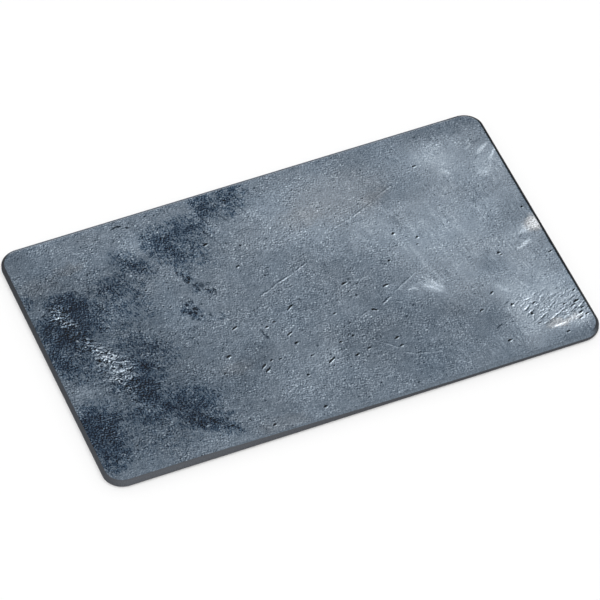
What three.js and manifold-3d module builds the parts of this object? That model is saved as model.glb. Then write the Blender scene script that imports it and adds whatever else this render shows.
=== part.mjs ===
// Glass cutting board, in millimetres, +Z up, X along its length.
// The origin is the centre of the footprint, on the surface that the board stands on.
// A tempered glass plate has a printed film and a backing film bonded under it. It stands on four moulded
// rubber feet, each held on the backing film by its own adhesive disc.
import * as THREE from "three";
import { mergeVertices } from "three/addons/utils/BufferGeometryUtils.js";
import Module from "manifold-3d";

// Glass plate
const PLATE_LENGTH = 400;
const PLATE_WIDTH = 250;
const PLATE_CORNER_RADIUS = 16;
const GLASS_THICKNESS = 5;
const BEVEL_INSET = 2;
const BEVEL_DROP = 1.5;
const ARRIS_SIZE = 0.4;

// Films under the glass, each ending short of the plate's edge
const PRINT_FILM_THICKNESS = 0.2;
const PRINT_FILM_MARGIN = 0.5;
const BACKING_FILM_THICKNESS = 0.2;
const BACKING_FILM_MARGIN = 0.5;

// Feet and the adhesive discs that hold them
const FOOT_DIAMETER = 12;
const FOOT_HEIGHT = 3;
const FOOT_EDGE_ROUND = 1.6;
const FOOT_EDGE_DISTANCE = 28;
const ADHESIVE_DIAMETER = 11;
const ADHESIVE_THICKNESS = 0.4;

// The glue line between two bonded faces
const BOND_LINE = 0.05;

// How finely round shapes are divided
const CORNER_SEGMENTS = 10;
const FOOT_SEGMENTS = 32;
const FOOT_ROUND_SEGMENTS = 6;

// Heights of the stack, from the surface under the feet upwards
const adhesiveBase = FOOT_HEIGHT + BOND_LINE;
const backingFilmBase = adhesiveBase + ADHESIVE_THICKNESS + BOND_LINE;
const printFilmBase = backingFilmBase + BACKING_FILM_THICKNESS + BOND_LINE;
const glassBase = printFilmBase + PRINT_FILM_THICKNESS + BOND_LINE;

const wasm = await Module();
wasm.setup();

const glassMaterial = new THREE.MeshStandardMaterial({ color: 0xd3dde2, roughness: 0.05, metalness: 0 });
const printMaterial = new THREE.MeshStandardMaterial({ color: 0x6b7886, roughness: 0.5, metalness: 0 });
const backingMaterial = new THREE.MeshStandardMaterial({ color: 0x3a3d42, roughness: 0.7, metalness: 0 });
const rubberMaterial = new THREE.MeshStandardMaterial({ color: 0x26272a, roughness: 0.8, metalness: 0 });
const adhesiveMaterial = new THREE.MeshStandardMaterial({ color: 0xc4c6c4, roughness: 0.6, metalness: 0 });

// The plate's outline, drawn in by the given margin all round
function plateOutline(margin) {
  const x = PLATE_LENGTH / 2 - margin;
  const y = PLATE_WIDTH / 2 - margin;
  const radius = PLATE_CORNER_RADIUS - margin;
  const outline = new THREE.Shape();
  outline.absarc(x - radius, y - radius, radius, 0, Math.PI / 2);
  outline.absarc(-x + radius, y - radius, radius, Math.PI / 2, Math.PI);
  outline.absarc(-x + radius, -y + radius, radius, Math.PI, Math.PI * 1.5);
  outline.absarc(x - radius, -y + radius, radius, Math.PI * 1.5, Math.PI * 2);
  outline.closePath();
  return outline;
}

// A plate from low to high with the same chamfer round its top and bottom edges
function chamferedPlate(low, high, inset, drop) {
  const geometry = new THREE.ExtrudeGeometry(plateOutline(0), {
    depth: high - low - 2 * drop,
    curveSegments: CORNER_SEGMENTS,
    bevelSegments: 1,
    bevelThickness: drop,
    bevelSize: inset,
    bevelOffset: -inset,
  });
  return geometry.translate(0, 0, low + drop);
}

function toSolid(geometry) {
  geometry.deleteAttribute("normal");
  geometry.deleteAttribute("uv");
  const merged = mergeVertices(geometry);
  const vertProperties = new Float32Array(merged.attributes.position.array);
  const triVerts = new Uint32Array(merged.index.array);
  return new wasm.Manifold(new wasm.Mesh({ numProp: 3, vertProperties, triVerts }));
}

function toGeometry(solid) {
  const { vertProperties, triVerts } = solid.getMesh();
  const geometry = new THREE.BufferGeometry();
  geometry.setAttribute("position", new THREE.BufferAttribute(vertProperties, 3));
  geometry.setIndex(new THREE.BufferAttribute(triVerts, 1));
  geometry.computeVertexNormals();
  return geometry;
}

// The glass has a wide bevel above and a small arris below. Each of the two plates gives one of them and
// runs past the glass on its other side, so their common part has both.
function glassPlate() {
  const top = GLASS_THICKNESS;
  const bevelled = chamferedPlate(-2 * BEVEL_DROP, top, BEVEL_INSET, BEVEL_DROP);
  const arrised = chamferedPlate(0, top + 2 * ARRIS_SIZE, ARRIS_SIZE, ARRIS_SIZE);
  const mesh = new THREE.Mesh(toGeometry(toSolid(bevelled).intersect(toSolid(arrised))), glassMaterial);
  mesh.name = "glass_plate";
  mesh.position.z = glassBase;
  return mesh;
}

function film(name, base, thickness, margin, material) {
  const geometry = new THREE.ExtrudeGeometry(plateOutline(margin), {
    depth: thickness,
    curveSegments: CORNER_SEGMENTS,
    bevelEnabled: false,
  });
  const mesh = new THREE.Mesh(geometry, material);
  mesh.name = name;
  mesh.position.z = base;
  return mesh;
}

// A foot is a short round pad with a flat underside and a rounded lower edge
function foot(name) {
  const radius = FOOT_DIAMETER / 2;
  const contactRadius = radius - FOOT_EDGE_ROUND;
  const edge = new THREE.EllipseCurve(
    contactRadius, FOOT_EDGE_ROUND, FOOT_EDGE_ROUND, FOOT_EDGE_ROUND, -Math.PI / 2, 0,
  );
  const profile = [
    new THREE.Vector2(0, 0),
    ...edge.getPoints(FOOT_ROUND_SEGMENTS),
    new THREE.Vector2(radius, FOOT_HEIGHT),
    new THREE.Vector2(0, FOOT_HEIGHT),
  ];
  const geometry = new THREE.LatheGeometry(profile, FOOT_SEGMENTS);
  const mesh = new THREE.Mesh(geometry.rotateX(Math.PI / 2), rubberMaterial);
  mesh.name = name;
  return mesh;
}

function adhesiveDisc(name) {
  const radius = ADHESIVE_DIAMETER / 2;
  const geometry = new THREE.CylinderGeometry(radius, radius, ADHESIVE_THICKNESS, FOOT_SEGMENTS);
  const mesh = new THREE.Mesh(geometry.rotateX(Math.PI / 2), adhesiveMaterial);
  mesh.name = name;
  mesh.position.z = adhesiveBase + ADHESIVE_THICKNESS / 2;
  return mesh;
}

// One foot with its adhesive disc, below each corner of the plate
function cornerFeet() {
  const x = PLATE_LENGTH / 2 - FOOT_EDGE_DISTANCE;
  const y = PLATE_WIDTH / 2 - FOOT_EDGE_DISTANCE;
  const feet = new THREE.Group();
  for (const [row, footY] of [["front", -y], ["rear", y]]) {
    for (const [side, footX] of [["left", -x], ["right", x]]) {
      const corner = new THREE.Group();
      corner.position.set(footX, footY, 0);
      corner.add(foot(`foot_${row}_${side}`), adhesiveDisc(`foot_adhesive_${row}_${side}`));
      feet.add(corner);
    }
  }
  return feet;
}

const board = new THREE.Group();
board.add(
  glassPlate(),
  film("print_film", printFilmBase, PRINT_FILM_THICKNESS, PRINT_FILM_MARGIN, printMaterial),
  film("backing_film", backingFilmBase, BACKING_FILM_THICKNESS, BACKING_FILM_MARGIN, backingMaterial),
  cornerFeet(),
);

export default board;
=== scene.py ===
"""Glass cutting board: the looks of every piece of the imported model, with floor, light and camera."""
import math

import bmesh
import bpy
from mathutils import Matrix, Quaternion, Vector


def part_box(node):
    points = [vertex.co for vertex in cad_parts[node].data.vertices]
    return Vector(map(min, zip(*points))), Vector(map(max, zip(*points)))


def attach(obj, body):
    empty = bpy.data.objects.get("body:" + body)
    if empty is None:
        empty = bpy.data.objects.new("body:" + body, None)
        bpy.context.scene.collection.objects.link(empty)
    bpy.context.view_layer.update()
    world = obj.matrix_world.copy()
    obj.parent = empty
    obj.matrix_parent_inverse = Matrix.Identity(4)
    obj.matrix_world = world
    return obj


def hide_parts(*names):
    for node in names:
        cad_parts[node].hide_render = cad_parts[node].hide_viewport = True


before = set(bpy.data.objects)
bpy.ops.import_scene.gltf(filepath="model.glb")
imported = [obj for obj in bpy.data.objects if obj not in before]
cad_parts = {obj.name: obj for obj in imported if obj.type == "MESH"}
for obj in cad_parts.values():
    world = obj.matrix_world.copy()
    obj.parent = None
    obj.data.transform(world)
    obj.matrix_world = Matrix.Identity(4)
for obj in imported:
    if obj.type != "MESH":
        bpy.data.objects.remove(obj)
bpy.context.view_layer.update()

MM = 0.001

# Camera, fitted to the outline in a picture of 600 by 600 pixels, with angles in degrees, lengths in metres
CAMERA_AZIMUTH = -21.217
CAMERA_ELEVATION = 48.477
CAMERA_ROLL = -1.033
CAMERA_DISTANCE = 3.8247
CAMERA_TARGET = Vector((-1.675, -7.764, 9.0)) * MM
SENSOR_WIDTH_MM = 36
FOCAL_PIXELS = 5035.4
IMAGE_PIXELS = 600
CAMERA_REACH = 100

# Glass plate, in millimetres, where the frame's boxes don't give the sizes
CORNER_RADIUS = 16
BEVEL_INSET = 2
BEVEL_DROP = 1.5
BEVEL_LOWER_ROUND = 0.5
BEVEL_UPPER_ROUND = 0.4
ARRIS = 0.4
ARRIS_ROUND = 0.15

# Films, feet and adhesive discs, in millimetres
FILM_MARGIN = 0.5
FILM_EDGE_ROUND = 0.04
FOOT_EDGE_ROUND = 1.6
FOOT_TOP_ROUND = 0.3
GROOVE_INSET = 2.6
GROOVE_WIDTH = 0.8
GROOVE_SLOPE = 0.2
GROOVE_DEPTH = 0.3
GROOVE_LIP_ROUND = 0.15
GROOVE_FLOOR_ROUND = 0.1
ADHESIVE_EDGE_ROUND = 0.08

# Level strips inside the rounded edges, in millimetres, which keep the shading of the large faces flat
GLASS_LOWER_STRIP = 0.5
GLASS_UPPER_STRIP = 0.8
FILM_STRIP = 0.1
FOOT_LOWER_STRIP = 1.0
FOOT_UPPER_STRIP = 0.8
ADHESIVE_STRIP = 0.5

# How finely round shapes are divided
CORNER_STEPS = 24
ROUND_STEPS = 4
FOOT_STEPS = 64

# A face of the plate is level if its height is this close to the plate's lowest or highest, in millimetres
LEVEL_TOLERANCE = 0.004

# How close to a cut a corner of the print counts as lying on it, in metres
CUT_TOLERANCE = 1e-7

# Light levels: the world and the lamps together light a level face so that a colour renders as written
SKY_HORIZON = 1.0
SKY_TOP = 0.2
SKY_FADE = (0.1, 0.7)
KEY_STRENGTH = 2.1
KEY_AZIMUTH = -32
KEY_ELEVATION = 54
FILL_STRENGTH = 0.9
FILL_AZIMUTH = 15
FILL_ELEVATION = 44
LAMP_SPREAD = 35

# Floor: its side in metres, and its colour as it shows and as it throws light back
FLOOR_SIZE = 30
FLOOR_SHOWN = (1, 1, 1, 1)
FLOOR_THROWN_BACK = (0.8, 0.8, 0.8, 1)

# Dull materials: dark and light colour, grain in millimetres, roughness, rise of the grain in millimetres
COATING = ((0.036, 0.038, 0.042), (0.05, 0.052, 0.057), 0.6, (0.6, 0.75), 0.02)
RUBBER = ((0.016, 0.016, 0.018), (0.026, 0.026, 0.028), 0.35, (0.7, 0.88), 0.04)
FOAM = ((0.5, 0.51, 0.5), (0.62, 0.63, 0.62), 0.25, (0.5, 0.7), 0.03)

# Fades are smooth steps: the place or value where they start and end, and the result before and after.
# Charcoal of the ground rim, lighter at the front left by painted light, and how much darker its bevel is by
# painted shade towards the far right, by place to the right less place to the front
RIM_CHARCOAL_AND_PAINTED_LIGHT = (-260, 60, 0.08, 0.052)
BEVEL_PAINTED_SHADE = (100, 230, 0.0, 0.044)
# Share of that colour, by place to the right: painted shade that darkens the left rim
LEFT_RIM_PAINTED_SHADE = (1, 14, 0.78, 1.0)
RIM_TINT = (1.0, 1.07, 1.2)
# The print's colour, painted on the rim where the clear bevel shows the print through the glass
SEEN_PRINT_COLOUR = (0.11, 0.137, 0.168)
# Inside of the rim: a painted reflection of the print
RIM_INSIDE_PAINTED_REFLECTION = (0.15, 0.18, 0.22, 1)
SEEN_SPECKLE = 1.6

# Colour of the glass, and roughness of its face by smudges and of its rim by grain
GLASS_COLOUR = (0.985, 0.995, 0.992, 1)
FACE_ROUGHNESS = (-0.2, 0.25, 0.015, 0.07)
RIM_ROUGHNESS = (-0.2, 0.2, 0.55, 0.75)

# Where the print is painted on the rim, as the clear bevel shows it: places to the right and towards the
# front, and heights about the bevel
CLEAR_DEEPENS = (20, 330)
CLEAR_ABOVE_BEVEL = 0.2
CLEAR_BELOW_BEVEL = 0.5
CLEAR_BLUR = 0.1
CLEAR_FRONT = (238, 246)
CLEAR_FRONT_END = (396, 388)
CLEAR_FAR = (5, 2.5)
CLEAR_FAR_END = (380, 372)

# The print, in millimetres from the far left corner of the plate, to the right and towards the front.
# Levels are steps of display brightness, from 0 for black to 255 for white.
WHITE_LEVEL = 255
PRINT_LEVEL = 122
PRINT_TINT = (-14.2, -2.3, 10.6)
PRINT_GAIN = 1.04
STAIN_TINT = (-6.0, 0.0, 6.0)
WARM_TINT = (4.5, -0.5, -5.0)
WARM_DRIFT = 0.8
DARKEST_SHARE = 0.06

# The display's curve between light and level
CURVE_OFFSET = 0.055
CURVE_POWER = 2.4

# Levels that the parts of the print add
CLOUD_LEVEL = 24
MOTTLE_LEVEL = 36
STAIN_LEVEL = -56
STAIN_CORE_LEVEL = -16
FOLD_LEVEL = 520
WRINKLE_LEVEL = 165
GRAIN_LEVEL = 57
BUMP_LEVEL = 72
PIT_SLOPE_LEVEL = 500
PIT_MIDDLE_LEVEL = -115

# Fades from the left of the print to the right: of its roughness, its mottling and two kinds of brush marks
ROUGHNESS_FADE = (220, 330, 1.2, 0.85)
MOTTLE_FADE = (220, 330, 34, 14)
FORWARD_BRUSH_FADE = (200, 320, 14, 50)
SIDEWAYS_BRUSH_FADE = (90, 220, 36, 6)

# How strongly dabs, hairs and grain break up the stains, and grain the smears and the lines
STAIN_DABS = 2.2
STAIN_HAIRS = 3.4
STAIN_GRAIN = 2.4
SMEAR_GRAIN = 1.4
LINE_GRAIN = 2.5
CORE_DABS = 0.5

# Fades of the breaking up and of the edges of stains, by their mass, and of patches, by a noise
STAIN_BREAKS = (0.0, 0.6, 0.25, 1.0)
STAIN_EDGE = (0.05, 1.2)
CORE_EDGE = (0.6, 1.5)
BRUSH_PATCHES = (-0.1, 0.15, 0.2, 1.0)
ROUGH_PATCHES = (-0.2, 0.2, 0.55, 1.45)

# How much rougher a stain is, how many pale grains it hides, and how strong large folds are beside fine ones
STAIN_ROUGHNESS = 1.1
STAIN_HIDES = 0.6
LARGE_FOLDS = 0.3

# How much nearer to the front left the glass makes the print look: the marks lie where they are seen
SEEN_SHIFT = (-1.0, 2.3)

# The way that light crosses the print, which pits, ridges and folds are shaded by
LIGHT_TURN = 72
LIGHT_X = math.cos(math.radians(LIGHT_TURN))
LIGHT_Y = math.sin(math.radians(LIGHT_TURN))

# Axes over the plate
RIGHTWARD = (1, 0, 0)
FORWARD = (0, 1, 0)

# Between these values lies most of a noise around 0.5
NOISE_SPREAD = (0.3, 0.7)

# How far apart two seeds lie in the noise
SEED_STEP_X = 37.3
SEED_STEP_Y = 61.7

# The print is drawn in tiles, each with only the marks that reach it
TILE_COLUMNS = 5
TILE_ROWS = 3

# Every mark is a soft ellipse: middle x and y, half length, half width, turn, strength.
# Broad lighter and darker areas, with strength as a level
TONES = [
    (40, 150, 100, 125, 8, -21),
    (8, 95, 40, 40, 0, -10),
    (75, 15, 60, 26, 0, 3),
    (15, 40, 40, 28, 0, -11),
    (8, 8, 26, 20, 0, -18),
    (345, 12, 30, 18, 0, -8),
    (235, 50, 80, 62, 15, 22),
    (350, 110, 85, 150, 0, 28),
    (375, 0, 60, 24, 0, -16),
    (225, 8, 32, 18, 0, -9),
    (145, 190, 26, 20, 0, -8),
    (226, 186, 24, 30, 0, -12),
    (98, 37, 18, 12, 0, 18),
    (262, 200, 34, 60, 0, -10),
    (180, 200, 36, 36, 0, 6),
    (380, 212, 40, 42, 0, 28),
    (92, 52, 28, 22, 0, -16),
    (180, 22, 36, 18, 0, -15),
    (275, 90, 26, 18, 0, 18),
    (305, 108, 40, 22, 0, 12),
    (312, 54, 40, 18, 0, -17),
    (368, 76, 30, 18, 0, -11),
    (388, 108, 20, 26, 0, -14),
    (318, 200, 30, 32, 0, -15),
    (148, 170, 20, 18, 0, -17),
    (8, 114, 20, 20, 0, 16),
    (125, 192, 22, 16, 0, -12),
    (284, 151, 32, 16, 0, 10),
    (350, 190, 16, 24, 0, 16),
    (390, 56, 16, 24, 0, 16),
    (352, 32, 26, 20, 0, 12),
    (108, 108, 20, 20, 0, 12),
    (350, 150, 16, 14, 0, -14),
    (12, 172, 22, 26, 0, 12),
    (192, 190, 16, 16, 0, 10),
    (66, 90, 20, 16, 0, 15),
    (62, 188, 20, 14, 0, 8),
    (108, 228, 20, 20, 0, -5),
    (70, 212, 44, 26, 0, -7),
    (105, 200, 40, 30, 0, -6),
    (145, 38, 18, 16, 0, -8),
    (215, 88, 26, 16, 0, -8),
    (385, 243, 26, 10, 0, -18),
    (3, 92, 12, 16, 0, -14),
    (90, 168, 22, 16, 0, -9),
    (128, 212, 18, 16, 0, -8),
    (40, 54, 56, 24, 0, -8),
    (230, 30, 38, 18, 0, -6),
    (312, 112, 14, 14, 0, -9),
    (370, 120, 16, 20, 0, -11),
    (290, 190, 20, 16, 0, -9),
    (372, 168, 16, 14, 0, 9),
    (188, 50, 16, 14, 0, -7),
    (148, 230, 18, 14, 0, -8),
    (330, 210, 14, 12, 0, -9),
    (188, 170, 14, 12, 0, -7),
    (250, 152, 14, 12, 0, -8),
]

# Dark stains along the far edge, in the big blotch, down the left and on the diagonal
STAINS = [
    (178, 15, 33, 19, 0, 0.3),
    (48, 110, 68, 66, 0, 0.25),
    (55, 205, 73, 55, 0, 0.3),
    (130, 42, 51, 40, 40, 0.2),
    (90, 62, 29, 20, 30, 0.3),
    (30, 90, 20, 22, 0, 0.55),
    (48, 196, 15, 11, 20, 0.35),
    (163, 8, 21, 12, 80, 0.75),
    (166, 22, 14, 10, 60, 0.4),
    (186, 8, 24, 10, 75, 0.7),
    (180, 23, 13, 9, 70, 0.4),
    (184, 31, 7, 4, 80, 0.45),
    (196, 7, 13, 7, 50, 0.35),
    (126, 30, 24, 15, 10, 0.35),
    (113, 34, 11, 13, 0, 0.32),
    (146, 25, 18, 13, 20, 0.7),
    (122, 48, 23, 15, 70, 0.6),
    (127, 70, 14, 8, 75, 0.25),
    (136, 46, 29, 18, 65, 0.5),
    (153, 35, 13, 10, 40, 0.35),
    (150, 66, 23, 13, 60, 0.15),
    (91, 45, 21, 12, 45, 0.55),
    (98, 56, 13, 9, 45, 0.3),
    (68, 64, 20, 12, 10, 0.5),
    (76, 82, 29, 21, 60, 0.35),
    (66, 95, 17, 13, 60, 0.2),
    (60, 46, 14, 12, 0, 0.2),
    (32, 70, 20, 16, 30, 1.15),
    (45, 88, 23, 15, 80, 0.6),
    (12, 82, 14, 10, 0, 0.65),
    (14, 96, 20, 13, 30, 0.5),
    (8, 110, 26, 13, 80, 0.65),
    (27, 106, 20, 15, 70, 0.65),
    (16, 116, 23, 18, 60, 0.25),
    (5, 55, 11, 7, 90, 0.7),
    (22, 138, 24, 20, 20, 0.3),
    (8, 128, 17, 12, 80, 0.45),
    (68, 128, 20, 15, 20, 0.4),
    (84, 143, 19, 15, 40, 0.45),
    (64, 146, 14, 9, 70, 0.5),
    (67, 158, 20, 16, 50, 0.6),
    (58, 172, 19, 13, 70, 0.75),
    (52, 168, 14, 12, 0, 0.4),
    (41, 163, 10, 9, 0, 0.6),
    (48, 180, 8, 5, 0, 0.4),
    (62, 187, 17, 10, 70, 0.55),
    (14, 184, 26, 25, 0, 0.5),
    (11, 207, 44, 21, 92, 0.95),
    (38, 189, 20, 6, 0, 0.35),
    (76, 200, 19, 13, 40, 0.35),
    (91, 193, 23, 15, 10, 0.55),
    (54, 202, 13, 9, 0, 0.35),
    (96, 205, 14, 10, 30, 0.3),
    (86, 216, 17, 12, 50, 0.48),
    (77, 216, 13, 7, 10, 0.35),
    (97, 224, 20, 12, 40, 0.45),
    (106, 233, 13, 7, 45, 0.3),
    (103, 217, 13, 9, 0, 0.35),
    (70, 183, 20, 13, 30, 0.3),
    (119, 110, 13, 7, 85, 0.65),
    (114, 111, 9, 5, 30, 0.5),
    (120, 119, 7, 6, 70, 0.4),
    (124, 76, 13, 5, 58, 0.4),
    (131, 90, 17, 6, 60, 0.35),
    (140, 99, 6, 5, 60, 0.3),
    (134, 124, 13, 9, 0, 0.25),
]

# Crumpled skin with pale ridges and dark cracks, down the left side
CRUMPLES = [
    (24, 78, 16, 10, 80, 1.3),
    (27, 94, 12, 9, 80, 0.5),
    (30, 108, 15, 11, 70, 0.5),
    (36, 116, 10, 9, 30, 0.6),
    (41, 126, 14, 11, 50, 0.75),
    (46, 145, 26, 18, 75, 0.9),
    (47, 166, 14, 7, 10, 0.6),
]

# Wrinkled patch near the front right corner
WRINKLES = [
    (377, 213, 34, 24, -25, 1),
    (355, 200, 22, 12, -25, 0.6),
    (392, 226, 18, 16, 0, 0.6),
]

# Pale smears, with strength as a level
SMEARS = [
    (398, 127, 12, 11, -20, 54),
    (391, 129, 14, 7, -25, 34),
    (382, 132, 10, 4, -15, 24),
    (379, 145.5, 10, 2.4, -27, 52),
    (297, 158, 13, 9, 50, 20),
    (300, 161, 12, 6, 62, 18),
    (281, 155.5, 5, 2, 15, 24),
    (378, 229, 18, 6, -3, 26),
    (381, 64, 9, 3.6, -30, 22),
    (347, 30, 20, 16, 10, 10),
    (356, 45, 16, 12, 40, 8),
    (352, 53, 8, 3.6, 50, 20),
    (20, 155, 24, 11, 6, 13),
    (45, 140, 15, 11, 60, 12),
    (345, 180, 7, 2.2, 55, 20),
    (349, 185, 6, 2, 35, 16),
    (361, 182, 10, 2, 62, 22),
    (348, 228, 9, 30, -5, 16),
    (388, 230, 12, 10, 0, 20),
]

# Pits: dark on the side towards the light, with a pale far rim, and strength as depth
PITS = [
    (188.3, 137, 2.6, 0.8, -40, 1),
    (142, 140.3, 1.9, 0.8, -25, 0.9),
    (165, 148.8, 0.9, 0.9, 0, 1),
    (178.5, 161.5, 2.2, 0.8, -28, 0.9),
    (180, 172, 1.4, 0.9, -20, 0.7),
    (127.5, 165.3, 1.4, 1, -20, 1.1),
    (148.5, 184.3, 2, 0.8, -40, 0.9),
    (149.8, 189.2, 1.6, 0.9, -30, 1.1),
    (155.8, 181, 1, 0.8, -20, 0.8),
    (162.6, 182.3, 1, 0.8, 0, 0.6),
    (197.8, 198.3, 2.8, 0.8, -35, 1),
    (218, 200.6, 1.4, 0.8, -20, 0.9),
    (228.6, 197.8, 1.2, 0.8, -10, 0.8),
    (211.2, 184, 1, 0.8, -10, 0.7),
    (221.8, 181.6, 0.9, 0.8, 0, 0.6),
    (251.8, 196.3, 1.7, 0.8, -15, 0.9),
    (252.3, 204.8, 1.2, 0.9, -15, 0.8),
    (235.6, 130.2, 1.5, 0.9, 0, 1),
    (264.2, 144.2, 1.8, 0.9, -10, 1.1),
    (246.5, 163.5, 1.3, 0.9, 40, 0.8),
    (248.2, 164.6, 1, 0.8, 40, 0.6),
    (290, 97.3, 1.2, 1, 0, 1),
    (305.6, 107.7, 1, 0.9, 0, 0.9),
    (303, 114.6, 0.9, 0.8, 0, 0.6),
    (276.5, 121.8, 0.9, 0.8, 0, 0.8),
    (357, 146.6, 1.1, 1, 0, 0.9),
    (358, 149.2, 1, 0.6, 0, 0.7),
    (332.3, 38.2, 1.2, 0.8, 20, 0.8),
    (321.5, 195.6, 1.2, 0.8, -30, 0.9),
    (335.8, 182.2, 1.4, 0.8, -30, 0.7),
    (345.4, 199.2, 1.1, 1, 0, 1),
    (329.8, 231.4, 1.3, 0.9, 10, 0.9),
    (176.4, 238.8, 1.2, 0.9, -10, 0.9),
    (134.6, 240.7, 1.1, 1, 0, 0.9),
    (172, 146.2, 1, 0.8, 30, 0.5),
    (217.4, 155.6, 1, 0.8, -20, 0.7),
    (119, 180, 0.8, 0.8, 0, 0.5),
    (176, 205, 1, 0.8, 30, 0.6),
    (186, 188.4, 1, 0.7, 0, 0.5),
    (392.6, 109.5, 0.9, 0.8, 0, 0.7),
    (394, 160.3, 1.3, 0.7, -15, 0.8),
    (374, 240, 1.2, 0.8, 0, 0.7),
    (361.3, 203.8, 1.2, 0.8, -20, 0.8),
    (355.8, 213.6, 0.9, 0.9, -20, 0.8),
    (357.4, 224, 1.2, 0.7, -10, 0.7),
    (382, 213.6, 0.9, 0.7, 0, 0.8),
    (391.5, 214.2, 2, 0.8, -15, 0.9),
    (388, 217.2, 1.4, 0.7, -10, 0.8),
    (393.6, 222, 1.2, 0.7, -20, 0.8),
    (390.6, 225.8, 1.6, 0.7, -20, 0.8),
    (394.3, 228.8, 1.2, 0.7, -20, 0.8),
    (388.3, 231, 1.2, 0.7, -20, 0.7),
    (394.6, 203.4, 1.2, 0.7, -20, 0.8),
    (167, 83, 1.4, 0.8, -25, 0.8),
    (152.5, 52.5, 1.4, 1, -30, 0.8),
]

# How far a pit's rim reaches, in the pit's half sizes
PIT_SPREAD = 1.85

# Strokes run from x and y to x and y, with a half width and a level, and fade out a little past both ends.
STROKE_OVERLAP = 1.2

# Scratches, each with a dark side towards the light: how far off, and its share of the level
SCRATCH_SHADE = (1.2, 0.8)
SCRATCHES = [
    (172, 118, 182, 114.5, 1, 59),
    (181, 114.8, 188, 111, 0.9, 48),
    (186, 111.5, 204, 106, 1, 63),
    (204, 105.5, 219, 99, 0.9, 46),
    (248, 75, 266, 70, 0.9, 24),
    (266, 70, 290, 60, 1, 42),
    (292, 57, 312, 49, 0.9, 35),
    (233, 167, 244, 162.5, 0.9, 35),
    (254, 161.5, 265, 155.5, 1.2, 70),
    (266, 154, 290, 141, 0.9, 42),
    (241, 197, 250, 207, 1, 53),
    (251, 211, 258, 216, 0.9, 39),
    (258, 216, 270, 219.5, 0.9, 39),
    (270, 219.5, 282, 222, 0.8, 24),
    (200.5, 228, 201, 247, 0.9, 24),
    (165, 130, 169, 127.5, 1, 46),
]

# Pale strokes of a brush
STREAKS = [
    (382, 45, 394, 36, 2.2, 44),
    (388, 42, 398, 34, 1.4, 22),
    (375, 37.5, 382.5, 33, 1.4, 30),
    (388, 55, 398, 44, 1.6, 36),
    (394, 50, 399, 42, 1.6, 30),
    (385.5, 63, 390.5, 54, 1.2, 28),
    (371, 67, 380, 61.5, 1.6, 18),
    (377, 65, 387, 56, 1.3, 16),
    (345, 33, 353, 28.5, 1.2, 22),
    (351, 46, 357, 43, 1.1, 20),
    (357, 47, 362, 46, 1, 22),
    (352.5, 51, 355, 56.5, 1.3, 24),
    (291, 153, 302.5, 167, 1.4, 28),
    (297, 151, 304, 164, 1.2, 24),
    (288, 155, 298, 160, 1.3, 22),
    (277, 155.5, 284, 154, 1.1, 36),
    (283, 153.5, 286, 158, 1, 26),
    (303, 140, 306, 156, 1.4, 10),
    (297, 110, 303, 152, 2.6, 12),
    (287, 80, 295, 126, 2.6, 10),
    (302, 70, 308, 118, 3, 10),
    (314, 84, 319, 130, 2.8, 10),
    (324, 70, 332, 116, 3, 9),
    (336, 86, 343, 130, 3, 9),
    (318, 126, 325, 168, 2.6, 9),
    (12, 152, 34, 151, 1.4, 16),
    (5, 158, 22, 157, 1.6, 14),
    (118, 72, 122, 70, 1, 24),
    (117, 77, 121, 75, 1, 20),
]

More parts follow.
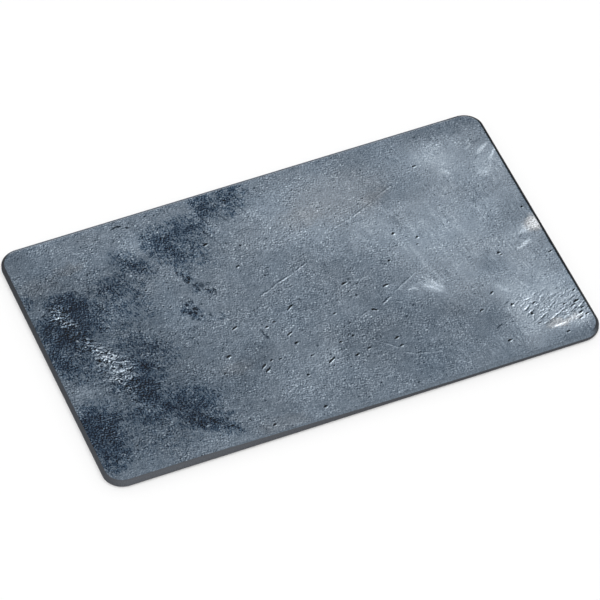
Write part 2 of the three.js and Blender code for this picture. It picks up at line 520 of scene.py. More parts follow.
# Dark hairs left by the brush, in and beside the stains and last between the pale strokes
HAIRS = [
    (110.5, 109.5, 114, 112, 1.6, -68),
    (114, 112.5, 119, 112.5, 2.6, -49),
    (118.5, 110, 124, 111, 2, -84),
    (119.5, 112, 121, 116.5, 1.8, -70),
    (116.5, 102.5, 117.5, 106, 1.7, -70),
    (119.5, 100.5, 119.7, 103.5, 1.3, -59),
    (121.5, 101.5, 122, 105, 1.4, -70),
    (121, 107, 121.5, 110, 1.2, -49),
    (117.5, 117, 115.5, 120.5, 1.6, -57),
    (118, 121, 121.5, 122.8, 1.6, -59),
    (122.5, 118.5, 124.5, 119.5, 1.7, -65),
    (128, 106.5, 127, 109, 1.3, -49),
    (130.5, 117, 129.5, 124, 1.3, -38),
    (121.8, 69.5, 121.4, 73, 1.3, -62),
    (124, 75, 125.5, 77.5, 1.3, -49),
    (127, 77.5, 129, 82, 2.1, -76),
    (123.8, 79.5, 127, 85.5, 1.6, -62),
    (119.5, 82.5, 119.6, 85.5, 1.3, -46),
    (128, 85.5, 131, 91, 1.6, -54),
    (130, 90, 132, 95.5, 1.6, -62),
    (131.5, 85, 132, 87.5, 1.3, -59),
    (133.5, 87, 135.5, 93, 3.1, -51),
    (139, 88, 140, 93, 2.9, -35),
    (135.5, 94.5, 139, 96.5, 1.6, -57),
    (138, 96.5, 138.5, 101, 1.6, -49),
    (141.8, 95.5, 142.2, 100.5, 1.6, -62),
    (142, 100.5, 140.3, 103, 1.4, -59),
    (128, 118, 133, 126, 0.9, -24),
    (136, 117, 140, 126, 0.9, -24),
    (143, 119, 147, 127, 0.9, -22),
    (150, 123, 155, 128, 0.9, -20),
    (77, 208, 90, 222, 1.1, -36),
    (86, 206, 97, 223, 1.1, -38),
    (91, 217, 104, 230, 1.1, -44),
    (98, 221, 111, 236, 1.1, -44),
    (83, 217, 88, 227, 1, -32),
    (68, 192, 80, 205, 1.1, -32),
    (62, 140, 68, 156, 1.1, -36),
    (70, 148, 78, 162, 1, -28),
    (148, 42, 156, 60, 1, -26),
    (155, 38, 164, 58, 1, -24),
    (144, 55, 151, 72, 1, -24),
    (112, 20, 107, 38, 1, -30),
    (172, 24, 178, 38, 1, -34),
    (188, 20, 195, 36, 1, -32),
    (198, 4, 205, 18, 1, -28),
    (158, 18, 162, 34, 1, -30),
    (82, 36, 96, 52, 1.1, -26),
    (64, 60, 74, 76, 1.1, -28),
    (38, 62, 48, 78, 1.1, -30),
    (52, 74, 60, 92, 1.1, -28),
    (82, 70, 92, 88, 1, -24),
    (98, 52, 108, 68, 1, -24),
    (12, 62, 24, 74, 1.1, -30),
    (309, 120, 313, 160, 2, -8),
    (329, 110, 334, 160, 2.2, -8),
    (294, 60, 299, 100, 2, -7),
]

# Dark lines and dashes, and last a dark band along the right edge: painted shade that widens the shaded
# right rim
DASHES = [
    (90, 10, 95, 8.4, 1.1, -110),
    (94.5, 8.5, 99.5, 9.4, 1.2, -115),
    (101.5, 11.5, 104.2, 13.6, 1.3, -117),
    (42, 56, 46, 66, 0.9, -44),
    (54, 56, 51, 70, 0.9, -34),
    (36, 18, 39.5, 10.5, 0.9, -29),
    (160, 148.5, 160, 155, 1.3, -56),
    (160, 154, 162.4, 160.5, 1.6, -62),
    (324, 217, 332, 213.2, 0.9, -68),
    (340.3, 19, 340.6, 36, 0.7, -23),
    (342.5, 24, 343, 30, 0.7, -23),
    (28, 157, 38, 156, 0.9, -49),
    (20, 152.5, 34, 153.5, 0.7, -21),
    (340, 196.5, 345, 194, 0.9, -57),
    (10, 74.5, 15, 71.5, 0.9, -52),
    (376, 51, 384, 44.5, 1, -31),
    (361.5, 25.2, 363.5, 24.6, 1, -52),
    (380, 132, 384.5, 128.5, 1, -44),
    (376, 139, 381, 135.5, 1, -31),
    (371, 144, 376, 140.5, 1, -29),
    (377, 134, 380, 130, 0.9, -31),
    (352, 18, 357, 15.5, 1.3, -26),
    (383, 33.5, 391, 30.5, 1.4, -21),
    # Painted shade along the right edge, widening the shaded right rim
    (397.9, 12, 397.9, 238, 0.9, -70),
]

# Pale ridges of the wrinkled patch, each with a dark side away from the light
RIDGE_SHADE = (-1.2, 0.9)
RIDGES = [
    (350, 208.5, 357.5, 203.5, 0.9, 82),
    (353, 211.5, 359, 208.8, 0.9, 82),
    (359, 207, 365, 205, 0.7, 58),
    (357, 220.5, 367, 215.5, 0.9, 79),
    (364, 224.5, 374, 220, 0.9, 69),
    (371, 221.5, 381, 216.5, 0.9, 73),
    (349, 203.5, 355, 200.5, 0.7, 50),
    (354, 198.5, 361, 197.5, 0.7, 63),
    (347, 199, 352, 196, 0.7, 50),
    (353.5, 219.5, 356.5, 213.5, 0.7, 58),
    (380, 223, 388, 219, 0.7, 63),
    (388, 221.5, 395.5, 217, 0.9, 73),
    (360, 214, 367, 212, 0.7, 41),
    (368, 212, 376, 208, 0.7, 32),
    (381, 205, 388, 202, 0.8, 36),
    (386, 210, 394, 206.5, 0.8, 40),
    (372, 203, 379, 200, 0.7, 29),
    (366, 200, 372, 198, 0.7, 31),
    (376, 226.5, 384, 223, 0.8, 36),
    (383, 231, 390, 227.5, 0.8, 36),
    (358, 226.5, 364, 224, 0.8, 36),
    (350, 214.5, 353.5, 210, 0.7, 34),
    (362, 196, 368, 194, 0.7, 27),
    (370, 194.5, 377, 191.5, 0.7, 25),
]

# Pale specks, and last a clean streak, with strength as a level
SPECKS = [
    (56, 22.5, 2.2, 1.5, 20, 34),
    (76.7, 60.3, 1.6, 1.2, 0, 66),
    (88.3, 60.4, 2, 1.4, 0, 80),
    (72.8, 80, 1.1, 1, 0, 60),
    (103.7, 89.7, 1, 0.9, 0, 44),
    (135.4, 180.2, 1.3, 1.1, 0, 46),
    (133.5, 225, 1.4, 1.8, 0, 30),
    (274.5, 82.6, 1.1, 1, 0, 48),
    (274.6, 103, 1.1, 1, 0, 50),
    (283.6, 127, 1.1, 0.9, 0, 30),
    (275.3, 197.2, 1.7, 1.3, -30, 44),
    (357.5, 23.6, 2, 1, 0, 40),
    (361.5, 25, 1.4, 1, 0, 28),
    (370.5, 24, 1.8, 1, 0, 34),
    (371.6, 26.6, 1.3, 1, 0, 40),
    (376, 22.6, 1.5, 0.9, -20, 26),
    (272, 51, 0.9, 0.9, 0, 34),
    (87.5, 222.5, 2.4, 0.9, -20, 60),
    (95.3, 212.5, 2.2, 0.8, -25, 44),
    (104.2, 227.8, 1.2, 1, 0, 50),
    (24, 188, 1.4, 0.9, 0, 40),
    (371, 231.2, 7.6, 1.5, -3, 88),
]

# Warmer, browner areas, with strength as a share
WARM_AREAS = [
    (20, 45, 20, 14, 0, 0.5),
    (46, 36, 16, 8, 0, 0.6),
    (266, 45, 50, 34, 0, 0.6),
    (292, 55, 18, 8, -20, 0.4),
    (228, 55, 26, 14, 0, 0.4),
    (140, 243, 26, 12, 0, 0.5),
    (128, 178, 18, 10, 0, 0.4),
    (374, 229, 18, 5, 0, 1.4),
    (396, 127, 14, 10, -28, 1.6),
]


class Value:
    """A number or vector that varies over a surface: a node socket with plain arithmetic."""

    def __init__(self, graph, socket, drift=0.0):
        self.graph = graph
        self.socket = socket
        self.drift = drift

    def __add__(self, other):
        return self.graph.math("ADD", self, other)

    def __sub__(self, other):
        return self.graph.math("SUBTRACT", self, other)

    def __mul__(self, other):
        return self.graph.math("MULTIPLY", self, other)


class Graph:
    """A node tree with one short call for each kind of node that the materials use."""

    def __init__(self, tree, tile=None):
        self.tree = tree
        self.tile = tile
        self.tree.nodes.clear()

    def feed(self, socket, value):
        if isinstance(value, Value):
            value = value.socket
        if isinstance(value, bpy.types.NodeSocket):
            self.tree.links.new(value, socket)
        else:
            socket.default_value = value

    def add(self, kind, settings=None, **inputs):
        node = self.tree.nodes.new(kind)
        for name, value in (settings or {}).items():
            setattr(node, name, value)
        for name, value in inputs.items():
            self.feed(node.inputs[name.replace("_", " ")], value)
        return node

    def math(self, operation, *values):
        node = self.add("ShaderNodeMath", {"operation": operation})
        for socket, value in zip(node.inputs, values):
            self.feed(socket, value)
        return Value(self, node.outputs[0])

    def vector(self, operation, *values, output="Vector"):
        node = self.add("ShaderNodeVectorMath", {"operation": operation})
        for socket, value in zip(node.inputs, values):
            self.feed(socket, value)
        return Value(self, node.outputs[output])

    def along(self, place, axis):
        """How far a place lies along an axis."""
        return self.vector("DOT_PRODUCT", place, axis, output="Value")

    def ramp(self, value, low, high, low_result=0.0, high_result=1.0):
        """A smooth step from one result to the other as value goes from low to high."""
        node = self.add("ShaderNodeMapRange", {"interpolation_type": "SMOOTHSTEP"}, Value=value)
        limits = {"From Min": low, "From Max": high, "To Min": low_result, "To Max": high_result}
        for name, number in limits.items():
            self.feed(node.inputs[name], number)
        return Value(self, node.outputs["Result"])

    def blend(self, share, first, second):
        """The first colour, and the second where share is 1."""
        node = self.add("ShaderNodeMix", {"data_type": "RGBA"}, Factor=share)
        self.feed(node.inputs["A"], first)
        self.feed(node.inputs["B"], second)
        return node.outputs["Result"]

    def noise(self, place, size, detail=2.0, roughness=0.5, seed=0, turn=0, stretch=1, shift=0.0):
        """Soft noise around 0 with grains of about size, drawn out along turn, shifted along the light."""
        away_x = shift * LIGHT_X - SEED_STEP_X * seed
        away_y = shift * LIGHT_Y - SEED_STEP_Y * seed
        moved = self.add(
            "ShaderNodeMapping",
            {"vector_type": "TEXTURE"},
            Vector=place,
            Location=(away_x, away_y, 0),
            Rotation=(0, 0, math.radians(turn)),
            Scale=(size * stretch, size, 1),
        )
        node = self.add(
            "ShaderNodeTexNoise",
            {"noise_dimensions": "2D"},
            Vector=moved.outputs[0],
            Scale=1.0,
            Detail=detail,
            Roughness=roughness,
        )
        return Value(self, node.outputs["Fac"]) - 0.5

    def relief(self, place, size, step, **noise):
        """Noise as a lit surface: bright where it rises along the light."""
        return self.noise(place, size, shift=-step, **noise) - self.noise(place, size, shift=step, **noise)

    def drifted(self, place, size, reach, seed):
        """Place moved about by soft noise, which makes the outlines of marks on it ragged."""
        away_x = self.noise(place, size, seed=seed) * reach
        away_y = self.noise(place, size, seed=seed + 0.5) * reach
        away = self.add("ShaderNodeCombineXYZ", X=away_x, Y=away_y)
        moved = self.vector("ADD", place, away.outputs[0])
        return Value(self, moved.socket, place.drift + reach / 2)

    def local(self, place, x, y, half_length, half_width, turn):
        """How far along and across a mark a place lies from its middle, in the mark's half sizes."""
        cos, sin = math.cos(math.radians(turn)), math.sin(math.radians(turn))
        along = (cos / half_length, sin / half_length, -(x * cos + y * sin) / half_length)
        across = (-sin / half_width, cos / half_width, (x * sin - y * cos) / half_width)
        return self.along(place, along), self.along(place, across)

    def spot(self, place, *shape):
        """A soft ellipse: 1 in its middle and 0 from its edge outwards."""
        return self.mound(*self.local(place, *shape))

    def mound(self, along, across):
        """1 where both distances are 0, falling to 0 where they reach 1 together."""
        return self.ramp(self.math("MULTIPLY_ADD", along, along, across * across), 1.0, 0.0)

    def reaching(self, place, marks, spread=1.0):
        """The marks that can show on this graph's tile, as far as they spread and their places drift."""
        low_x, low_y, high_x, high_y = self.tile
        for mark in marks:
            x, y, half_length, half_width = mark[:4]
            reach = max(half_length, half_width) * spread + place.drift
            if low_x - reach < x < high_x + reach and low_y - reach < y < high_y + reach:
                yield mark

    def gather(self, place, marks, total=0.0):
        """The sum of all marks, each a soft ellipse times its strength."""
        for *shape, strength in self.reaching(place, marks):
            total = self.math("MULTIPLY_ADD", self.spot(place, *shape), strength, total)
        return total


def new_material(name, tile=None):
    material = bpy.data.materials.new(name)
    material.use_nodes = True
    return material, Graph(material.node_tree, tile)


def finish_material(graph, surface):
    output = graph.add("ShaderNodeOutputMaterial")
    graph.feed(output.inputs["Surface"], surface)


def plate_place(graph, shift=(0, 0)):
    """Millimetres from the plate's far left corner, to the right and towards the front, and a 1 as third."""
    here = graph.add("ShaderNodeTexCoord").outputs["Object"]
    low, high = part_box("glass_plate")
    place = graph.add(
        "ShaderNodeMapping",
        Vector=here,
        Location=(-low.x / MM + shift[0], high.y / MM + shift[1], 1),
        Scale=(1 / MM, -1 / MM, 0),
    )
    return Value(graph, place.outputs[0])


def plate_height(graph):
    """Millimetres above the underside of the plate."""
    here = Value(graph, graph.add("ShaderNodeTexCoord").outputs["Object"])
    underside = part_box("glass_plate")[0].z
    return graph.along(here, (0, 0, 1 / MM)) - underside / MM


def put_in_scene(name, data):
    """An object in the scene that holds a mesh, lamp or camera."""
    holder = bpy.data.objects.new(name, data)
    bpy.context.scene.collection.objects.link(holder)
    return holder


def build_world():
    world = bpy.data.worlds.new("studio")
    world.use_nodes = True
    bpy.context.scene.world = world
    graph = Graph(world.node_tree)
    direction = graph.add("ShaderNodeTexCoord").outputs["Generated"]
    height = graph.add("ShaderNodeSeparateXYZ", Vector=direction).outputs["Z"]
    level = graph.ramp(height, *SKY_FADE, SKY_HORIZON, SKY_TOP)
    background = graph.add("ShaderNodeBackground", Strength=level)
    output = graph.add("ShaderNodeOutputWorld")
    graph.feed(output.inputs["Surface"], background.outputs[0])


def outward(azimuth, elevation):
    """The direction from the board towards a camera or lamp."""
    turn, lift = math.radians(azimuth), math.radians(elevation)
    return Vector((math.sin(turn) * math.cos(lift), -math.cos(turn) * math.cos(lift), math.sin(lift)))


def add_lamp(name, strength, azimuth, elevation):
    lamp = bpy.data.lights.new(name, "SUN")
    lamp.energy = strength
    lamp.angle = math.radians(LAMP_SPREAD)
    holder = put_in_scene(name, lamp)
    holder.rotation_mode = "QUATERNION"
    holder.rotation_quaternion = outward(azimuth, elevation).to_track_quat("Z", "Y")


def add_camera():
    camera = bpy.data.cameras.new("camera")
    camera.sensor_width = SENSOR_WIDTH_MM
    camera.lens = FOCAL_PIXELS / IMAGE_PIXELS * SENSOR_WIDTH_MM
    camera.clip_end = CAMERA_REACH
    holder = put_in_scene("camera", camera)
    back = outward(CAMERA_AZIMUTH, CAMERA_ELEVATION)
    holder.location = CAMERA_TARGET + back * CAMERA_DISTANCE
    holder.rotation_mode = "QUATERNION"
    roll = Quaternion((0, 0, 1), math.radians(CAMERA_ROLL))
    holder.rotation_quaternion = back.to_track_quat("Z", "Y") @ roll
    bpy.context.scene.camera = holder


def floor_material():
    """A pale floor that shows as white and throws back a little less light than it shows."""
    material, graph = new_material("floor")
    path = graph.add("ShaderNodeLightPath").outputs
    seen = graph.math("MAXIMUM", path["Is Camera Ray"], path["Is Glossy Ray"])
    seen = graph.math("MAXIMUM", seen, path["Is Transmission Ray"])
    bounce = graph.add("ShaderNodeBsdfDiffuse", Color=FLOOR_THROWN_BACK)
    shown = graph.add("ShaderNodeBsdfDiffuse", Color=FLOOR_SHOWN)
    mix = graph.add("ShaderNodeMixShader", Fac=seen)
    graph.feed(mix.inputs[1], bounce.outputs[0])
    graph.feed(mix.inputs[2], shown.outputs[0])
    finish_material(graph, mix.outputs[0])
    return material


def add_floor():
    mesh = bpy.data.meshes.new("floor")
    half = FLOOR_SIZE / 2
    corners = [(-half, -half, 0), (half, -half, 0), (half, half, 0), (-half, half, 0)]
    mesh.from_pydata(corners, [], [(0, 1, 2, 3)])
    mesh.materials.append(floor_material())
    floor = put_in_scene("floor", mesh)


def box_height(node):
    """The height of the node's box, in millimetres."""
    low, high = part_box(node)
    return (high.z - low.z) / MM


def rounded_rectangle(half_length, half_width, radius):
    """Corner points of a rounded rectangle, anticlockwise from above."""
    points = []
    for corner, (side_x, side_y) in enumerate(((1, 1), (-1, 1), (-1, -1), (1, -1))):
        for step in range(CORNER_STEPS + 1):
            angle = math.radians(90) * (corner + step / CORNER_STEPS)
            x = side_x * (half_length - radius) + radius * math.cos(angle)
            y = side_y * (half_width - radius) + radius * math.sin(angle)
            points.append((x, y))
    return points


def rounded_profile(corners):
    """A profile through (inset, height, round) corners, each rounded over that distance on both sides."""
    points = [Vector(corners[0][:2])]
    for before, corner, after in zip(corners, corners[1:], corners[2:]):
        middle = Vector(corner[:2])
        start = middle + (Vector(before[:2]) - middle).normalized() * corner[2]
        end = middle + (Vector(after[:2]) - middle).normalized() * corner[2]
        for step in range(ROUND_STEPS + 1):
            share = step / ROUND_STEPS
            points.append(start * (1 - share) ** 2 + middle * 2 * share * (1 - share) + end * share**2)
    points.append(Vector(corners[-1][:2]))
    return points


def sheet_profile(thickness, strip, edge_round):
    """The profile of a thin sheet with both edges rounded."""
    return rounded_profile(
        [(strip, 0, 0), (0, 0, edge_round), (0, thickness, edge_round), (strip, thickness, 0)]
    )


def loft(name, rings):
    """A closed mesh through rings of points, from the first to the last, with a flat face at each end."""
    mesh = bpy.data.meshes.new(name)
    build = bmesh.new()
    layers = [[build.verts.new(point) for point in ring] for ring in rings]
    build.faces.new(list(reversed(layers[0])))
    for lower, upper in zip(layers, layers[1:]):
        for index in range(len(lower)):
            after = (index + 1) % len(lower)
            build.faces.new((lower[index], lower[after], upper[after], upper[index]))
    build.faces.new(layers[-1])
    for face in build.faces:
        face.smooth = True
    build.to_mesh(mesh)
    build.free()
    return put_in_scene(name, mesh)


def plate_rings(node, profile, corner_radius):
    """Rings of a plate that fills the node's box, with (inset, height) steps in millimetres at its edge."""
    low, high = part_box(node)
    rings = []
    for inset, height in profile:
        half_length = (high.x - low.x) / 2 - inset * MM
        half_width = (high.y - low.y) / 2 - inset * MM
        outline = rounded_rectangle(half_length, half_width, (corner_radius - inset) * MM)
        rings.append([(x, y, low.z + height * MM) for x, y in outline])
    return rings


def round_rings(node, profile):
    """Rings of a round piece that fills the node's box, with (inset, height) steps in millimetres."""
    low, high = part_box(node)
    middle = (low + high) / 2
    rings = []
    for inset, height in profile:
        radius = (high.x - low.x) / 2 - inset * MM
        ring = []
        for step in range(FOOT_STEPS):
            angle = 2 * math.pi * step / FOOT_STEPS
            x = middle.x + radius * math.cos(angle)
            y = middle.y + radius * math.sin(angle)
            ring.append((x, y, low.z + height * MM))
        rings.append(ring)
    return rings


def settle(piece, node, slot, *materials):
    """Puts a finished piece in the place of its node."""
    for material in materials:
        piece.data.materials.append(material)
    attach(piece, "root")
    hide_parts(node)


def let_lamps_through(graph, surface):
    """The surface as it shows, but clear to the light of lamps and floor, so the print under it is lit."""
    path = graph.add("ShaderNodeLightPath").outputs
    for ray in ("Is Diffuse Ray", "Is Shadow Ray"):
        clear = graph.add("ShaderNodeBsdfTransparent")
        mix = graph.add("ShaderNodeMixShader", Fac=path[ray])
        graph.feed(mix.inputs[1], surface)
        graph.feed(mix.inputs[2], clear.outputs[0])
        surface = mix.outputs[0]
    finish_material(graph, surface)


def polished_glass():
    material, graph = new_material("polished_glass")
    place = plate_place(graph)
    smudge = graph.noise(place, size=45, detail=4, roughness=0.6)
    glass = graph.add(
        "ShaderNodeBsdfPrincipled",
        Base_Color=GLASS_COLOUR,
        Roughness=graph.ramp(smudge, *FACE_ROUGHNESS),
        IOR=1.5,
        Transmission_Weight=1.0,
    )
    let_lamps_through(graph, glass.outputs[0])
    return material


def bevel_heights():
    """Millimetres from the underside of the plate to the bottom and top of its bevel."""
    top = box_height("glass_plate")
    return top - BEVEL_DROP, top


def ground_edge():
    """Fine-ground rim of the glass: charcoal from outside with painted light at the front left and painted
    shade to the right, the print painted where the clear bevel shows it, and a painted reflection of the
    print from inside.
    """
    material, graph = new_material("ground_edge")
    place = plate_place(graph)
    grain = graph.noise(place, size=0.5)
    clear = clear_bevel(graph, place)
    inside = graph.add("ShaderNodeNewGeometry").outputs["Backfacing"]
    across = graph.along(place, (1, -1, 0))
    bevel = graph.ramp(plate_height(graph), *bevel_heights())
    # Painted light and shade on the charcoal: lighter at the front left, darker on the bevel to the far
    # right and on the left rim
    rim_colour_and_painted_light = graph.ramp(across, *RIM_CHARCOAL_AND_PAINTED_LIGHT) - graph.ramp(across, *BEVEL_PAINTED_SHADE) * bevel
    right = graph.along(place, RIGHTWARD)
    rim_colour_and_painted_light = rim_colour_and_painted_light * graph.ramp(right, *LEFT_RIM_PAINTED_SHADE) * (grain + 1.0)
    charcoal_and_painted_light = graph.vector("MULTIPLY", rim_colour_and_painted_light, RIM_TINT)
    speckle = graph.noise(place, size=1.2, roughness=0.6, seed=16) * SEEN_SPECKLE + 1.0
    seen_print = graph.vector("MULTIPLY", speckle, SEEN_PRINT_COLOUR)
    # The print painted on the rim where the clear bevel shows it through the glass
    outside = graph.blend(clear, charcoal_and_painted_light, seen_print)
    # Seen from inside, the rim shows a painted reflection of the print
    edge = graph.add(
        "ShaderNodeBsdfPrincipled",
        Base_Color=graph.blend(inside, outside, RIM_INSIDE_PAINTED_REFLECTION),
        Roughness=graph.ramp(grain, *RIM_ROUGHNESS),
        Specular_IOR_Level=0.05,
    )
    let_lamps_through(graph, edge.outputs[0])
    return material


def clear_bevel(graph, place):
    """Where the print is painted on the rim, as the clear bevel shows it: on the far edge, and on the front
    edge deeper towards the right.
    """
    bottom, top = bevel_heights()
    right = graph.along(place, RIGHTWARD)
    front = graph.along(place, FORWARD)
    limit = graph.ramp(right, *CLEAR_DEEPENS, top + CLEAR_ABOVE_BEVEL, bottom - CLEAR_BELOW_BEVEL)
    height = plate_height(graph)
    near_edge = graph.ramp(height - limit, -CLEAR_BLUR, CLEAR_BLUR) * graph.ramp(front, *CLEAR_FRONT)
    far_edge = graph.ramp(height, bottom - CLEAR_BLUR, bottom + CLEAR_BLUR) * graph.ramp(front, *CLEAR_FAR)
    return near_edge * graph.ramp(right, *CLEAR_FRONT_END) + far_edge * graph.ramp(right, *CLEAR_FAR_END)


def stain_cover(graph, place, grain):
    """How much dark stain lies on the print and on its cores, from 0 to 1, broken up as by a dry brush."""
    bent = graph.drifted(place, size=24, reach=9, seed=1)
    ragged = graph.drifted(bent, size=5, reach=4, seed=2)
    mass = graph.gather(ragged, STAINS)
    dabs = graph.noise(place, size=5, detail=3, roughness=0.65, seed=4) * STAIN_DABS
    hairs = graph.noise(place, size=1.4, seed=5, turn=76, stretch=3.6) * STAIN_HAIRS
    broken = (dabs + hairs + grain * STAIN_GRAIN) * graph.ramp(mass, *STAIN_BREAKS)
    return graph.ramp(broken + mass, *STAIN_EDGE), graph.ramp(dabs * CORE_DABS + mass, *CORE_EDGE)


def broad_tone(graph, place):
    """Soft lighter and darker areas, with clouds."""
    drifting = graph.drifted(place, size=45, reach=20, seed=6)
    clouds = graph.noise(place, size=34, detail=4, roughness=0.6, seed=7) * CLOUD_LEVEL
    return graph.gather(drifting, TONES, clouds + PRINT_LEVEL)


def crumpled_skin(graph, place):
    """Large and fine folds of the crumpled skin, as they catch the light."""
    ragged = graph.drifted(place, size=6, reach=6, seed=9)
    fine = graph.relief(ragged, size=1.7, step=0.6, detail=3, roughness=0.65, turn=20, stretch=1.6, seed=11)
    large = graph.relief(ragged, size=4.4, step=1.2, detail=1, turn=35, stretch=1.8, seed=13)
    return (fine + large * LARGE_FOLDS) * graph.gather(ragged, CRUMPLES)


def wrinkled_patch(graph, place):
    """Long low wrinkles, as they catch the light."""
    ragged = graph.drifted(place, size=6, reach=6, seed=12)
    folds = graph.relief(ragged, size=1.2, step=0.5, roughness=0.6, turn=-30, stretch=4, seed=14)
    return folds * graph.gather(ragged, WRINKLES)


def pits(graph, place):
    """Small holes: dark on the side towards the light and pale on the far rim."""
    level = 0.0
    for x, y, half_length, half_width, turn, depth in graph.reaching(place, PITS, PIT_SPREAD):
        along, across = graph.local(place, x, y, half_length * PIT_SPREAD, half_width * PIT_SPREAD, turn)
        near = graph.mound(along, across)
        light = math.radians(LIGHT_TURN - turn)
        slope = graph.math("MULTIPLY_ADD", along, math.cos(light), across * math.sin(light))
        level = graph.math("MULTIPLY_ADD", near * depth, slope * PIT_SLOPE_LEVEL + PIT_MIDDLE_LEVEL, level)
    return level


def stroke_marks(strokes):
    """Strokes from one point to another, as the soft ellipses that cover them."""
    marks = []
    for x, y, to_x, to_y, half_width, level in strokes:
        half_length = STROKE_OVERLAP * math.hypot(to_x - x, to_y - y) / 2
        turn = math.degrees(math.atan2(to_y - y, to_x - x))
        marks.append(((x + to_x) / 2, (y + to_y) / 2, half_length, half_width, turn, level))
    return marks


def shaded_marks(strokes, offset, share):
    """The dark sides of strokes, which lie towards the light, or away from it if offset is negative."""
    away_x, away_y = offset * LIGHT_X, offset * LIGHT_Y
    marks = stroke_marks(strokes)
    return [(x - away_x, y - away_y, *shape, -level * share) for x, y, *shape, level in marks]


def lines(graph, shaky, grain):
    """All strokes: scratches and ridges with a bright and a dark side, hairs, dashes with painted shade
    along the right edge, and pale streaks.
    """
    level = graph.gather(shaky, stroke_marks(SCRATCHES + RIDGES))
    level = graph.gather(shaky, shaded_marks(SCRATCHES, *SCRATCH_SHADE), level)
    level = graph.gather(shaky, shaded_marks(RIDGES, *RIDGE_SHADE), level)
    level = graph.gather(shaky, stroke_marks(HAIRS + DASHES + STREAKS), level)
    return (grain * LINE_GRAIN + 1.0) * level


def brush_marks(graph, place):
    """Broken streaks of a broad brush: drawn towards the front on the right, and across on the left."""
    wavering = graph.drifted(place, size=60, reach=14, seed=24)
    streaks = graph.noise(wavering, size=2.4, roughness=0.6, seed=25, turn=84, stretch=5)
    patches = graph.ramp(graph.noise(place, size=26, seed=26), *BRUSH_PATCHES)
    right = graph.along(place, RIGHTWARD)
    fibres = graph.noise(wavering, size=1.2, detail=1, seed=27, turn=78, stretch=9)
    sweeps = graph.noise(wavering, size=2.6, roughness=0.6, seed=28, turn=-18, stretch=5)
    drawn_forward = (streaks + fibres) * graph.ramp(right, *FORWARD_BRUSH_FADE)
    drawn_sideways = sweeps * graph.ramp(right, *SIDEWAYS_BRUSH_FADE)
    return (drawn_forward + drawn_sideways) * patches


def pocks(graph, place, size, radius, share, slope, middle):
    """Grains or pits scattered over the print, as levels: the lit slope's and the middle's."""
    node = graph.add("ShaderNodeTexVoronoi", {"voronoi_dimensions": "2D"}, Vector=place, Scale=1 / size)
    chance = graph.add("ShaderNodeSeparateColor", Color=node.outputs["Color"]).outputs["Red"]
    near = graph.ramp(node.outputs["Distance"], radius / size, 0.0) * graph.math("LESS_THAN", chance, share)
    apart = graph.vector("SUBTRACT", place, node.outputs["Position"])
    towards = graph.along(apart, (LIGHT_X / radius, LIGHT_Y / radius, 0))
    return near * (towards * slope + middle)


def print_tone(graph, place):
    """How light the print is, as a display level, and how much stain lies on it."""
    grain = graph.noise(place, size=1.2, roughness=0.6, seed=16)
    bumps = graph.relief(place, size=1.3, step=0.7, detail=1, roughness=0.6, seed=17)
    mottle = graph.noise(place, size=6, detail=4, roughness=0.75, seed=21)
    right = graph.along(place, RIGHTWARD)
    patches = graph.ramp(graph.noise(place, size=22, detail=3, roughness=0.6, seed=23), *ROUGH_PATCHES)
    rough = patches * graph.ramp(right, *ROUGHNESS_FADE)
    stain, core = stain_cover(graph, place, grain)
    tone = broad_tone(graph, place) + mottle * (rough * MOTTLE_LEVEL + graph.ramp(right, *MOTTLE_FADE))
    ragged = graph.drifted(place, size=4, reach=4, seed=18)
    tone = tone + (grain * SMEAR_GRAIN + 1.0) * graph.gather(ragged, SMEARS)
    tone = tone + stain * STAIN_LEVEL + core * STAIN_CORE_LEVEL
    tone = tone + crumpled_skin(graph, place) * FOLD_LEVEL
    tone = tone + wrinkled_patch(graph, place) * WRINKLE_LEVEL
    tone = tone + (grain * GRAIN_LEVEL + bumps * BUMP_LEVEL) * (stain * STAIN_ROUGHNESS + rough)
    tone = tone + brush_marks(graph, place)
    pale_grains = pocks(graph, place, size=3.4, radius=1.0, share=0.4, slope=60, middle=42)
    tone = tone + pale_grains * (rough - stain * STAIN_HIDES)
    small_pits = pocks(graph, ragged, size=5.2, radius=1.2, share=0.35, slope=170, middle=-34)
    tone = tone + small_pits * rough
    shaky = graph.drifted(place, size=2.5, reach=1.2, seed=15)
    tone = tone + lines(graph, shaky, grain)
    tone = tone + graph.gather(shaky, SPECKS)
    return tone + pits(graph, shaky), stain


def linear_colour(graph, levels):
    """The colour of light that shows as the given display levels."""
    scale = 1 / (WHITE_LEVEL * (1 + CURVE_OFFSET))
    lift = CURVE_OFFSET / (1 + CURVE_OFFSET)
    share = graph.vector("MULTIPLY_ADD", levels, (scale,) * 3, (lift,) * 3)
    share = graph.vector("MAXIMUM", share, (DARKEST_SHARE,) * 3)
    return graph.add("ShaderNodeGamma", Color=share, Gamma=CURVE_POWER).outputs[0]


def print_material(name, tile):
    """The print on one tile, whose low and high x and y are given."""
    material, graph = new_material(name, tile)
    place = plate_place(graph, SEEN_SHIFT)
    tone, stain = print_tone(graph, place)
    drift = graph.noise(place, size=40, detail=3, seed=20) * WARM_DRIFT
    ragged = graph.drifted(place, size=9, reach=12, seed=19)
    warmth = graph.gather(ragged, WARM_AREAS, drift)
    tint = graph.vector("MULTIPLY_ADD", warmth, WARM_TINT, PRINT_TINT)
    tint = graph.vector("MULTIPLY_ADD", stain, STAIN_TINT, tint)
    colour = linear_colour(graph, graph.vector("ADD", tone, tint))
    strong = graph.vector("MULTIPLY", colour, (PRINT_GAIN,) * 3)
    shader = graph.add("ShaderNodeBsdfPrincipled", Base_Color=strong, Roughness=0.55, Specular_IOR_Level=0.0)
    finish_material(graph, shader.outputs[0])
    return material


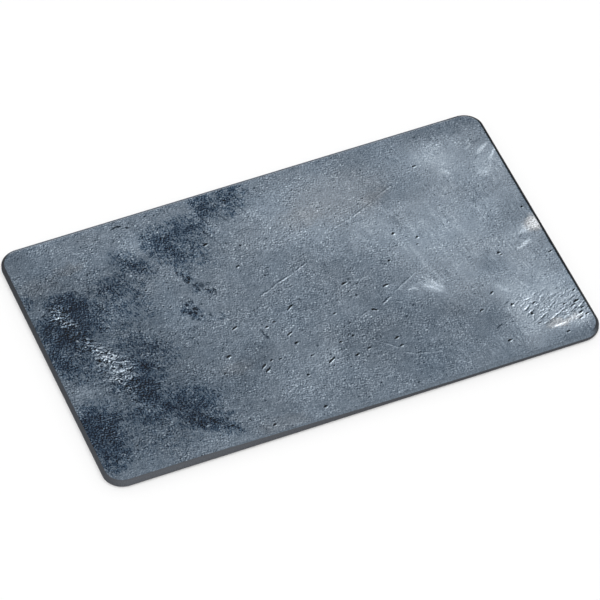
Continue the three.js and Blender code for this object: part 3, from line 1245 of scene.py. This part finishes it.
def grained_material(name, dark, light, size, roughness, rise):
    """A dull moulded or coated surface: two shades mixed by a fine grain that also raises it."""
    material, graph = new_material(name)
    here = Value(graph, graph.add("ShaderNodeTexCoord").outputs["Object"])
    place = graph.vector("MULTIPLY", here, (1 / MM,) * 3)
    node = graph.add("ShaderNodeTexNoise", Vector=place, Scale=1 / size, Detail=4.0, Roughness=0.6)
    grain = graph.ramp(node.outputs["Fac"], *NOISE_SPREAD)
    bump = graph.add("ShaderNodeBump", Height=grain, Strength=0.5, Distance=rise * MM)
    shader = graph.add(
        "ShaderNodeBsdfPrincipled",
        Base_Color=graph.blend(grain, (*dark, 1), (*light, 1)),
        Roughness=graph.ramp(node.outputs["Fac"], *NOISE_SPREAD, *roughness),
        Normal=bump.outputs[0],
    )
    finish_material(graph, shader.outputs[0])
    return material


def add_glass():
    bevel_bottom, top = bevel_heights()
    profile = rounded_profile(
        [
            (ARRIS + GLASS_LOWER_STRIP, 0, 0),
            (ARRIS, 0, ARRIS_ROUND),
            (0, ARRIS, ARRIS_ROUND),
            (0, bevel_bottom, BEVEL_LOWER_ROUND),
            (BEVEL_INSET, top, BEVEL_UPPER_ROUND),
            (BEVEL_INSET + GLASS_UPPER_STRIP, top, 0),
        ]
    )
    piece = loft("cutting_glass", plate_rings("glass_plate", profile, CORNER_RADIUS))
    settle(piece, "glass_plate", "glass", polished_glass(), ground_edge())
    low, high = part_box("glass_plate")
    for face in piece.data.polygons:
        height = face.center.z
        if low.z + LEVEL_TOLERANCE * MM < height < high.z - LEVEL_TOLERANCE * MM:
            face.material_index = 1


def add_film(name, node, slot, *materials):
    profile = sheet_profile(box_height(node), FILM_STRIP, FILM_EDGE_ROUND)
    piece = loft(name, plate_rings(node, profile, CORNER_RADIUS - FILM_MARGIN))
    settle(piece, node, slot, *materials)
    return piece


def print_tiles():
    """Low and high x and y of every tile of the print, row by row from the far left."""
    low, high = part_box("glass_plate")
    length = (high.x - low.x) / MM / TILE_COLUMNS
    width = (high.y - low.y) / MM / TILE_ROWS
    tiles = []
    for row in range(TILE_ROWS):
        for column in range(TILE_COLUMNS):
            tiles.append((column * length, row * width, (column + 1) * length, (row + 1) * width))
    return tiles


def cut_into_tiles(piece, tiles):
    """Cuts the sheet along the tiles' borders and gives each face its tile's material."""
    low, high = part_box("glass_plate")
    build = bmesh.new()
    build.from_mesh(piece.data)
    for x, y in {tile[2:] for tile in tiles}:
        for point, normal in (((low.x + x * MM, 0, 0), (1, 0, 0)), ((0, high.y - y * MM, 0), (0, 1, 0))):
            everything = build.verts[:] + build.edges[:] + build.faces[:]
            bmesh.ops.bisect_plane(
                build, geom=everything, dist=CUT_TOLERANCE, plane_co=point, plane_no=normal
            )
    for face in build.faces:
        middle = face.calc_center_bounds()
        x, y = (middle.x - low.x) / MM, (high.y - middle.y) / MM
        inside = [tile[0] <= x <= tile[2] and tile[1] <= y <= tile[3] for tile in tiles]
        face.material_index = inside.index(True)
    build.to_mesh(piece.data)
    build.free()


def add_print():
    tiles = print_tiles()
    materials = [print_material(f"print_pattern_{number}", tile) for number, tile in enumerate(tiles, 1)]
    piece = add_film("print_sheet", "print_film", "print", *materials)
    cut_into_tiles(piece, tiles)


def add_foot(corner, rubber):
    """A moulded foot with a rounded lower edge, a ring groove in its underside and a soft upper edge."""
    node = f"foot_{corner}"
    height = box_height(node)
    groove_end = GROOVE_INSET + GROOVE_WIDTH
    profile = rounded_profile(
        [
            (groove_end + FOOT_LOWER_STRIP, 0, 0),
            (groove_end, 0, GROOVE_LIP_ROUND),
            (groove_end - GROOVE_SLOPE, GROOVE_DEPTH, GROOVE_FLOOR_ROUND),
            (GROOVE_INSET + GROOVE_SLOPE, GROOVE_DEPTH, GROOVE_FLOOR_ROUND),
            (GROOVE_INSET, 0, GROOVE_LIP_ROUND),
            (0, 0, FOOT_EDGE_ROUND),
            (0, height, FOOT_TOP_ROUND),
            (FOOT_UPPER_STRIP, height, 0),
        ]
    )
    piece = loft(f"rubber_foot_{corner}", round_rings(node, profile))
    settle(piece, node, "foot_rubber", rubber)


def add_adhesive(corner, foam):
    node = f"foot_adhesive_{corner}"
    profile = sheet_profile(box_height(node), ADHESIVE_STRIP, ADHESIVE_EDGE_ROUND)
    piece = loft(f"adhesive_disc_{corner}", round_rings(node, profile))
    settle(piece, node, "adhesive", foam)


bpy.context.scene.view_settings.view_transform = "Standard"
add_camera()
build_world()
add_lamp("key", KEY_STRENGTH, KEY_AZIMUTH, KEY_ELEVATION)
add_lamp("fill", FILL_STRENGTH, FILL_AZIMUTH, FILL_ELEVATION)
add_floor()
add_glass()
add_print()
add_film("backing_sheet", "backing_film", "backing", grained_material("backing_coat", *COATING))
rubber = grained_material("moulded_rubber", *RUBBER)
foam = grained_material("acrylic_foam", *FOAM)
for row in ("front", "rear"):
    for side in ("left", "right"):
        add_foot(f"{row}_{side}", rubber)
        add_adhesive(f"{row}_{side}", foam)
